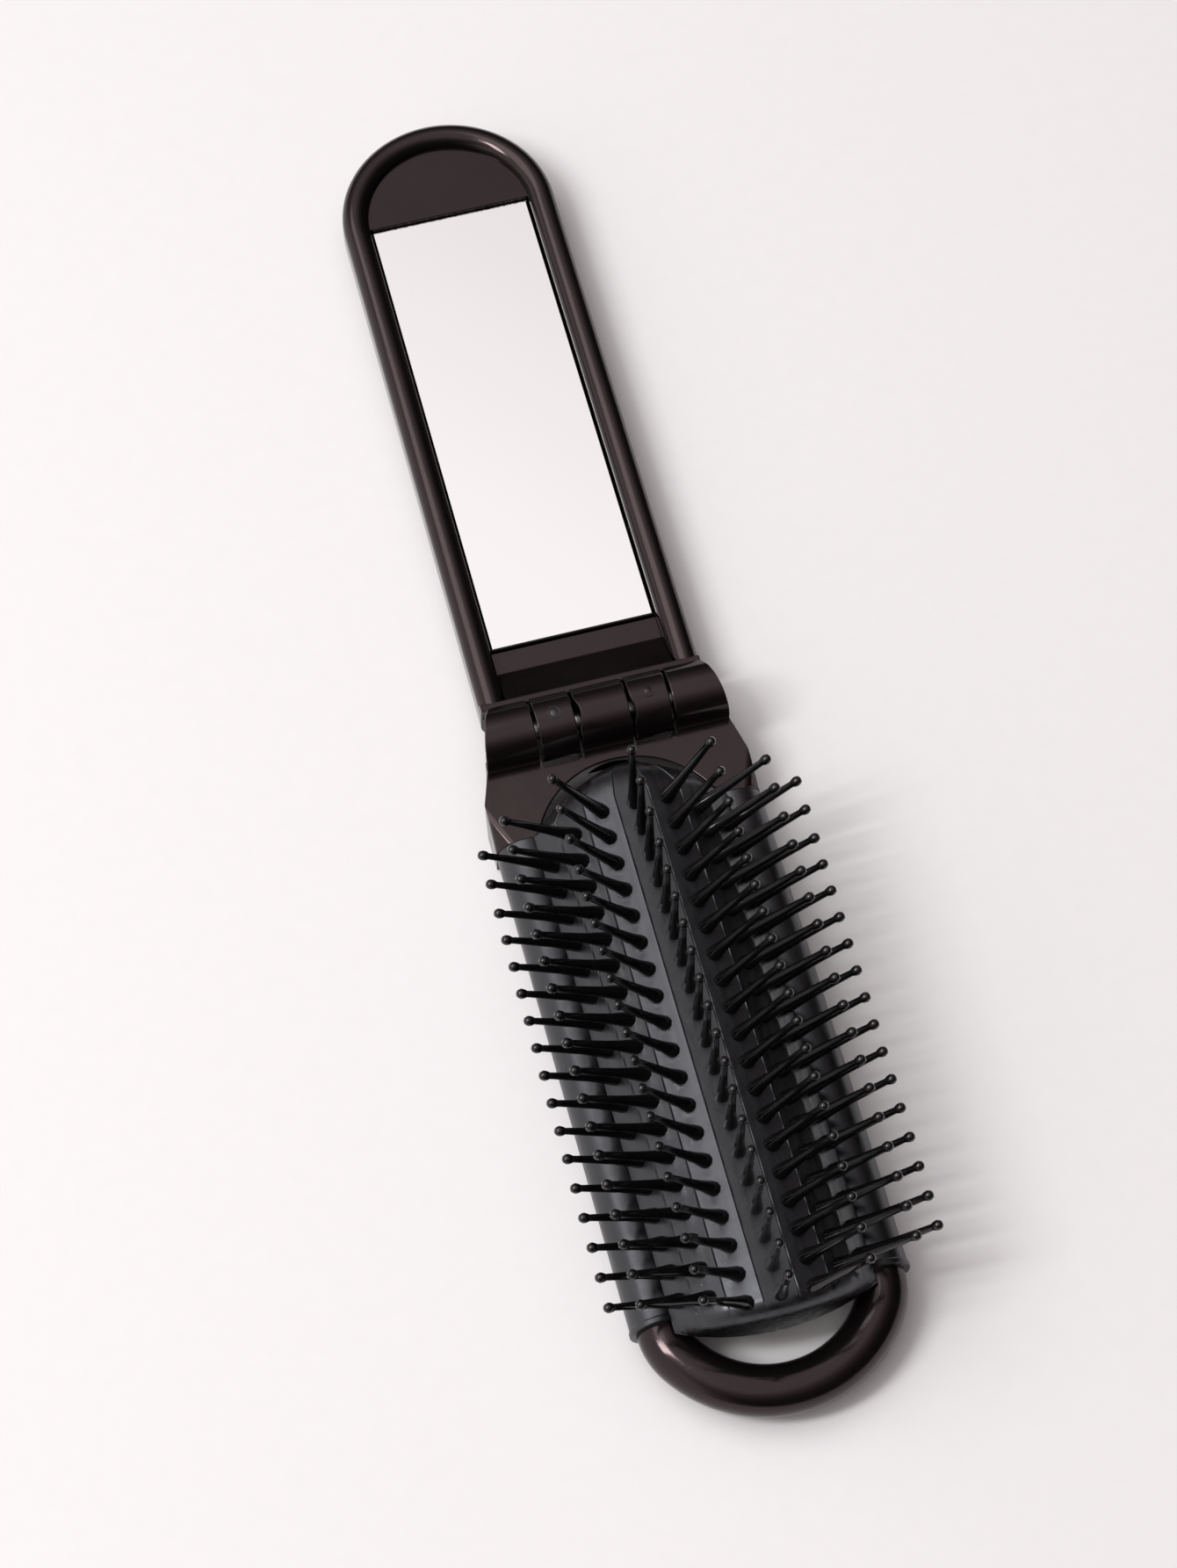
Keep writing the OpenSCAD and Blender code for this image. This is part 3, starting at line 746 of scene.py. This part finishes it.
def buildTrayShell():
    bm = bmesh.new()
    length = tray["roundS"] - tray["startS"]

    def drawEdges(edges, y):
        made = bmesh.ops.extrude_edge_only(bm, edges=edges)
        bmesh.ops.translate(bm, vec=(0, y, 0), verts=only(made["geom"], BMVert))
        return [e for e in only(made["geom"], BMEdge) if abs(e.verts[0].co.y - e.verts[1].co.y) < tiny]

    # along one side, round the end and back along the other side
    last = drawEdges(profileEdges(bm, [(x, handleY(tray["startS"]), z) for x, z in trayProfile()]), length)
    spun = bmesh.ops.spin(bm, geom=last + vertsOf(last), cent=(0, handleY(tray["roundS"]), 0), axis=(0, 0, 1),
                          angle=math.pi, steps=tray["roundSteps"])
    drawEdges(only(spun["geom_last"], BMEdge), -length)
    bmesh.ops.remove_doubles(bm, verts=bm.verts, dist=weld)
    bmesh.ops.dissolve_degenerate(bm, edges=bm.edges, dist=tiny)
    bmesh.ops.contextual_create(bm, geom=[e for e in bm.edges if e.is_boundary])
    bmesh.ops.recalc_face_normals(bm, faces=bm.faces)
    return bm


# a prism across the handle from points of (station, height)
def addAcross(bm, points, halfWide, edge):
    made = bmesh.new()
    made.faces.new([made.verts.new((-halfWide, handleY(s), z)) for s, z in points])
    drawOut(made, (2 * halfWide, 0, 0))
    soften(made, list(made.edges), edge, 3)
    joinInto(bm, made)


def addHingeEnd(bm):
    landStart, landEnd, rimTop = tray["landStartS"], tray["landEnd"], tray["rimTop"]
    stripEnd, stripTop, ledgeEnd = tray["stripEnd"], tray["stripTop"], tray["ledgeEnd"]
    wellTop = rimTop - tray["landDrop"]
    inWell = [(landStart, tray["low"]), (landStart, wellTop), (landEnd, wellTop),
              (tray["slopeEnd"], stripTop), (stripEnd, stripTop), (stripEnd, tray["seatZ"]),
              (ledgeEnd, tray["seatZ"]), (ledgeEnd, tray["low"])]
    addAcross(bm, inWell, tray["wellHalf"] + tray["overlap"], tray["stripEdge"])
    # the land runs out over both rims
    overRims = [(tray["startS"], tray["landLow"]), (tray["startS"], rimTop), (landEnd, rimTop),
                (landEnd + tray["landSlope"], tray["landLow"])]
    addAcross(bm, overRims, tray["half"] - tray["landIn"], tray["landEdge"])


# the D-shaped land beyond the mirror
def addFarLand(bm):
    top, startS = tray["farLandTop"], tray["farLandS"]
    disc = bmesh.new()
    bmesh.ops.create_circle(disc, cap_ends=True, segments=tray["farLandSteps"],
                            radius=tray["wellHalf"] + tray["overlap"],
                            matrix=Matrix.Translation((0, handleY(tray["roundS"]), top)))
    bmesh.ops.bisect_plane(disc, geom=allOf(disc), dist=tiny, plane_no=(0, -1, 0), clear_outer=True,
                           plane_co=(0, handleY(startS), 0))
    drawOut(disc, (0, 0, tray["ribLow"] - top))
    front = [e for e in disc.edges
             if all(v.co.z > top - 0.1 and v.co.y < handleY(startS + 0.01) for v in e.verts)]
    soften(disc, front, tray["farLandEdge"], 3)
    joinInto(bm, disc)


# ribs under the glass: some across and one along
def addRibs(bm):
    half, wide, s0, s1 = tray["wellHalf"], tray["ribWide"], tray["stripEnd"], tray["farLandS"]
    span = (s1 - s0) / (tray["ribs"] + 1)
    starts = [s0 + k * span for k in range(1, tray["ribs"] + 1)]
    ribs = [(-half, s, half, s + wide) for s in starts] + [(-wide / 2, s0, wide / 2, s1)]
    for x0, fromS, x1, toS in ribs:
        addBlock(bm, (x0, handleY(fromS), tray["ribLow"]), (x1, handleY(toS), tray["seatZ"]))


def addHandleKnuckles(bm):
    webTop = tray["rimTop"] - tray["rimR"]
    for side in (-1, 1):
        x0, x1 = sorted((side * barrel["handleFrom"], side * barrel["handleTo"]))
        bulge = (lambda v: bulgeAt(v, barrel["handleBulge"], *barrel["handleBulgeAt"])) if side > 0 else None
        addKnuckle(bm, x0, x1, lowEnd=bulge)
        addBlock(bm, (x0, handleY(barrel["webStartS"]), barrel["webLow"]),
                 (x1, handleY(tray["startS"] + 1), webTop))


def buildTray():
    bm = buildTrayShell()
    addHingeEnd(bm)
    addFarLand(bm)
    addRibs(bm)
    addHandleKnuckles(bm)
    return bm


piece("handleTray", buildTray(), [gloss], "handle", ["handle_shell"], 30, False, True)
print("tray made")

# plugs in the handle's knuckles, each with a ring sunk into its top; the left one is duller

plug = dict(x=7.75, top=14.88, steps=32,
            profile=[(0, -1.1), (1.1, -1.1), (1.1, -0.04), (1.05, 0.02), (0.97, 0.02), (0.92, -0.3),
                     (0.72, -0.3), (0.64, -0.02), (0.56, 0.02), (0, 0.02)])


def buildPlug(side):
    bm = bmesh.new()
    turned(bm, plug["profile"], plug["steps"])
    bmesh.ops.translate(bm, vec=(side * plug["x"], hinge["y"], plug["top"]), verts=bm.verts)
    return bm


for side, sideName, finish in ((-1, "left", satin), (1, "right", gloss)):
    piece("plug" + sideName.capitalize(), buildPlug(side), [finish], "handle",
          ["knuckle_plug_" + sideName], 40)
print("plugs made")

# hinge pin: its ends follow the slant of the outer knuckles, like rivet heads

hingePin = dict(r=1.5, proud=0.08, edge=0.25, steps=40)


def buildHingePin():
    bm = bmesh.new()
    addBar(bm, -barrel["outerTo"], barrel["outerTo"], hingePin["r"], hingePin["steps"], hingePin["edge"])
    for v in bm.verts:
        v.co.x += math.copysign(1, v.co.x) * (taperAt(v) + hingePin["proud"])
    return bm


piece("hingePin", buildHingePin(), [steel], "brush", ["hinge_pin"], 30, True, True)
print("hinge pin made")

# the solids that show as they are
finishes = dict(rail_left=gloss, rail_right=gloss, mirror_tape=tape)
for name, mat in finishes.items():
    nodes[name].data.materials.clear()
    nodes[name].data.materials.append(mat)

# floor

paper = dict(color=(0.86, 0.845, 0.85), darker=0.985, rough=0.8, fibreScale=300, reach=40)


def buildFloor():
    bm = bmesh.new()
    bmesh.ops.create_grid(bm, x_segments=1, y_segments=1, size=paper["reach"])
    mesh = bpy.data.meshes.new("floor")
    bm.to_mesh(mesh)
    bm.free()
    mat, tree, bsdf = newMaterial("paperFloor")
    fibre = noiseOf(tree, objectCoords(tree), paper["fibreScale"], 3.0)
    dark = (*(c * paper["darker"] for c in paper["color"]), 1)
    tree.links.new(blendOf(tree, fibre, dark, (*paper["color"], 1)), bsdf.inputs["Base Color"])
    bsdf.inputs["Roughness"].default_value = paper["rough"]
    mesh.materials.append(mat)
    obj = bpy.data.objects.new("floor", mesh)
    scene.collection.objects.link(obj)


# the room as the object mirrors it: white overhead, dim low down on the viewer's side, bright on the left

room = dict(strength=0.84, leanX=-0.3, leanY=0.12, overhead=(0.14, 0.9), leftSide=(-0.2, -0.75),
            stops=[(0.0, (0.02, 0.018, 0.018, 1)), (0.45, (0.13, 0.105, 0.105, 1)),
                   (0.78, (0.50, 0.44, 0.44, 1)), (1.0, (1.15, 1.10, 1.10, 1))])


def buildWorld():
    world = bpy.data.worlds.new("studio")
    scene.world = world
    world.use_nodes = True
    tree = world.node_tree
    back = tree.nodes["Background"]
    coord = tree.nodes.new("ShaderNodeTexCoord")
    split = tree.nodes.new("ShaderNodeSeparateXYZ")
    tree.links.new(coord.outputs["Generated"], split.inputs["Vector"])
    x, y, z = split.outputs
    # dimmer towards the right and the viewer
    leanX = mathOf(tree, "MULTIPLY", x, room["leanX"])
    leanY = mathOf(tree, "MULTIPLY", y, room["leanY"])
    height = mathOf(tree, "ADD", z, mathOf(tree, "ADD", leanX, leanY))
    overhead = rangeOf(tree, height, *room["overhead"], 0.0, 1.0)
    leftSide = rangeOf(tree, x, *room["leftSide"], 0.0, 1.0)
    tone = mathOf(tree, "MAXIMUM", overhead, leftSide)
    tree.links.new(rampOf(tree, tone, room["stops"]), back.inputs["Color"])
    back.inputs["Strength"].default_value = room["strength"]


# a narrow key lamp on the left and a wide, weaker one behind it

lampDistance = 1.2
keyLamp = dict(fromDir=(-0.58, -0.06, 0.80), power=6.2, size=(0.2, 0.5))
fillLamp = dict(fromDir=(-0.40, 0.35, 0.85), power=3.8, size=(0.85, 0.85))


def addLamp(name, fromDir, power, size):
    lamp = bpy.data.lights.new(name, "AREA")
    lamp.shape = "RECTANGLE"
    lamp.energy, (lamp.size, lamp.size_y) = power, size
    obj = bpy.data.objects.new(name, lamp)
    obj.location = Vector(fromDir).normalized() * lampDistance
    obj.rotation_euler = Vector(fromDir).to_track_quat("Z", "Y").to_euler()
    scene.collection.objects.link(obj)


# the photograph's view, from above the loop's end
view = dict(place=(-0.0782, -0.2760, 0.5796), forward=(0.11578, 0.41753, -0.90126),
            up=(0.22806, 0.87194, 0.43325), lens=91.35, sensor=36, clipStart=0.01)


def addCamera():
    camera = bpy.data.cameras.new("photoView")
    camera.lens, camera.sensor_width, camera.clip_start = view["lens"], view["sensor"], view["clipStart"]
    forward, up = Vector(view["forward"]).normalized(), Vector(view["up"]).normalized()
    right = forward.cross(up).normalized()
    turn = Matrix((right, right.cross(forward), -forward)).transposed().to_4x4()
    obj = bpy.data.objects.new("photoView", camera)
    obj.matrix_world = Matrix.Translation(view["place"]) @ turn
    scene.collection.objects.link(obj)
    scene.camera = obj


buildFloor()
buildWorld()
addLamp("keyLamp", **keyLamp)
addLamp("fillLamp", **fillLamp)
addCamera()
print("stage made")

bpy.context.view_layer.update()
